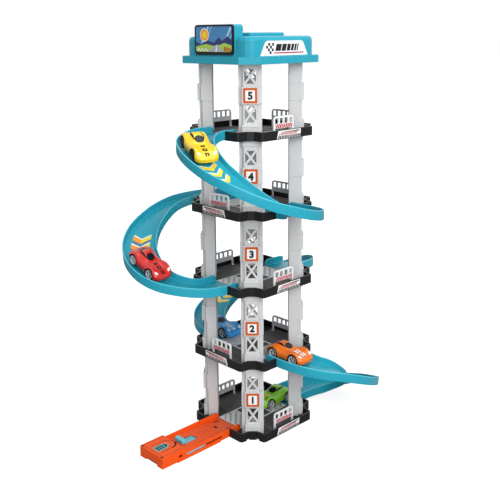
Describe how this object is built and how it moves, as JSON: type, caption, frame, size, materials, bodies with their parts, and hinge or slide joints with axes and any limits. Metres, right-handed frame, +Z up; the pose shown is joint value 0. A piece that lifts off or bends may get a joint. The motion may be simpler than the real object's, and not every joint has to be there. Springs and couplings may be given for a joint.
{
  "type": "toy garage",
  "caption": "Free-standing toy parking tower: stacked square trays on corner columns, spiral car ramps with side walls, railings, a roof cap, a spring launcher and small rolling cars.",
  "frame": {"origin": "middle of the underside of the lowest tray, on the ground", "axes": "+Z up the tower, -Y towards the launcher, +X towards the side where the top ramp lands"},
  "size_m": [0.274, 0.3005, 0.4893],
  "materials": {
    "tray_plastic": "satin black injection-moulded plastic",
    "column_plastic": "satin light grey injection-moulded plastic",
    "track_plastic": "glossy teal blue injection-moulded plastic",
    "screen_plastic": "dark panel with a glossy printed sheet",
    "rail_white": "satin white plastic",
    "rail_grey": "satin grey plastic",
    "launcher_plastic": "satin orange-red plastic",
    "slider_plastic": "satin light blue plastic",
    "spring_steel": "bright drawn wire",
    "wheel_plastic": "black moulded tyre with a bright rim",
    "car_yellow": "glossy yellow paint",
    "car_red": "glossy red paint",
    "car_blue": "glossy blue paint",
    "car_orange": "glossy orange paint",
    "car_green": "glossy green paint"
  },
  "bodies": {
    "tower": {"column_1_front": "column_plastic", "column_1_left": "column_plastic", "column_1_rear": "column_plastic", "column_1_right": "column_plastic", "column_2_front": "column_plastic", "column_2_left": "column_plastic", "column_2_rear": "column_plastic", "column_2_right": "column_plastic", "column_3_front": "column_plastic", "column_3_left": "column_plastic", "column_3_rear": "column_plastic", "column_3_right": "column_plastic", "column_4_front": "column_plastic", "column_4_left": "column_plastic", "column_4_rear": "column_plastic", "column_4_right": "column_plastic", "column_5_front": "column_plastic", "column_5_left": "column_plastic", "column_5_rear": "column_plastic", "column_5_right": "column_plastic", "launcher_housing": "launcher_plastic", "launcher_spring": "spring_steel", "rail_1_left": "rail_grey", "rail_1_right": "rail_white", "rail_2_front": "rail_white", "rail_2_rear": "rail_grey", "rail_3_left": "rail_grey", "rail_3_right": "rail_white", "rail_4_front": "rail_white", "rail_4_rear": "rail_grey", "rail_5_left": "rail_grey", "rail_5_rear": "rail_grey", "rail_5_right": "rail_white", "ramp_2_to_1": "track_plastic", "ramp_3_to_2": "track_plastic", "ramp_4_to_3": "track_plastic", "ramp_5_to_4": "track_plastic", "roof_cap": "track_plastic", "roof_screen": "screen_plastic", "tray_1": "tray_plastic", "tray_2": "tray_plastic", "tray_3": "tray_plastic", "tray_4": "tray_plastic", "tray_5": "tray_plastic"},
    "launcher_slider": {"launcher_slider": "slider_plastic"},
    "car_yellow": {"car_yellow_body": "car_yellow"},
    "car_yellow_front_wheels": {"car_yellow_front_wheels": "wheel_plastic"},
    "car_yellow_rear_wheels": {"car_yellow_rear_wheels": "wheel_plastic"},
    "car_red": {"car_red_body": "car_red"},
    "car_red_front_wheels": {"car_red_front_wheels": "wheel_plastic"},
    "car_red_rear_wheels": {"car_red_rear_wheels": "wheel_plastic"},
    "car_blue": {"car_blue_body": "car_blue"},
    "car_blue_front_wheels": {"car_blue_front_wheels": "wheel_plastic"},
    "car_blue_rear_wheels": {"car_blue_rear_wheels": "wheel_plastic"},
    "car_orange": {"car_orange_body": "car_orange"},
    "car_orange_front_wheels": {"car_orange_front_wheels": "wheel_plastic"},
    "car_orange_rear_wheels": {"car_orange_rear_wheels": "wheel_plastic"},
    "car_green": {"car_green_body": "car_green"},
    "car_green_front_wheels": {"car_green_front_wheels": "wheel_plastic"},
    "car_green_rear_wheels": {"car_green_rear_wheels": "wheel_plastic"}
  },
  "joints": [
    {"name": "launcher_pull", "type": "slide", "parent": "tower", "child": "launcher_slider", "axis": [0, 1, 0], "range_m": [0, 0.02], "stiffness_N_per_m": 60, "springref_m": -0.004},
    {"name": "car_yellow_lift_off", "type": "slide", "parent": "tower", "child": "car_yellow", "axis": [0, 0, 1], "range_m": [0, 0.02]},
    {"name": "car_yellow_front_axle", "type": "hinge", "parent": "car_yellow", "child": "car_yellow_front_wheels", "pos_m": [0.04738, -0.11574, 0.35513], "axis": [0.3271, 0.9449, 0.0093], "continuous": true},
    {"name": "car_yellow_rear_axle", "type": "hinge", "parent": "car_yellow", "child": "car_yellow_rear_wheels", "pos_m": [0.02033, -0.10648, 0.36575], "axis": [0.3271, 0.9449, 0.0093], "continuous": true},
    {"name": "car_red_lift_off", "type": "slide", "parent": "tower", "child": "car_red", "axis": [0, 0, 1], "range_m": [0, 0.02]},
    {"name": "car_red_front_axle", "type": "hinge", "parent": "car_red", "child": "car_red_front_wheels", "pos_m": [-0.04225, -0.11358, 0.20736], "axis": [-0.0069, 0.9973, 0.0737], "continuous": true},
    {"name": "car_red_rear_axle", "type": "hinge", "parent": "car_red", "child": "car_red_rear_wheels", "pos_m": [-0.07025, -0.11466, 0.21941], "axis": [-0.0069, 0.9973, 0.0737], "continuous": true},
    {"name": "car_blue_lift_off", "type": "slide", "parent": "tower", "child": "car_blue", "axis": [0, 0, 1], "range_m": [0, 0.02]},
    {"name": "car_blue_front_axle", "type": "hinge", "parent": "car_blue", "child": "car_blue_front_wheels", "pos_m": [-0.04255, 0, 0.10117], "axis": [0.0339, 0.9994, -0.0016], "continuous": true},
    {"name": "car_blue_rear_axle", "type": "hinge", "parent": "car_blue", "child": "car_blue_rear_wheels", "pos_m": [-0.07302, 0.00104, 0.10195], "axis": [0.0339, 0.9994, -0.0016], "continuous": true},
    {"name": "car_orange_lift_off", "type": "slide", "parent": "tower", "child": "car_orange", "axis": [0, 0, 1], "range_m": [0, 0.02]},
    {"name": "car_orange_front_axle", "type": "hinge", "parent": "car_orange", "child": "car_orange_front_wheels", "pos_m": [0.07687, 0.00195, 0.10021], "axis": [-0.061, 0.9981, -0.0132], "continuous": true},
    {"name": "car_orange_rear_axle", "type": "hinge", "parent": "car_orange", "child": "car_orange_rear_wheels", "pos_m": [0.04644, 0.0001, 0.10127], "axis": [-0.061, 0.9981, -0.0132], "continuous": true},
    {"name": "car_green_lift_off", "type": "slide", "parent": "tower", "child": "car_green", "axis": [0, 0, 1], "range_m": [0, 0.02]},
    {"name": "car_green_front_axle", "type": "hinge", "parent": "car_green", "child": "car_green_front_wheels", "pos_m": [0, 0.01916, 0.0102], "axis": [1, 0, 0], "continuous": true},
    {"name": "car_green_rear_axle", "type": "hinge", "parent": "car_green", "child": "car_green_rear_wheels", "pos_m": [0, 0.04966, 0.0106], "axis": [1, 0, 0], "continuous": true}
  ]
}
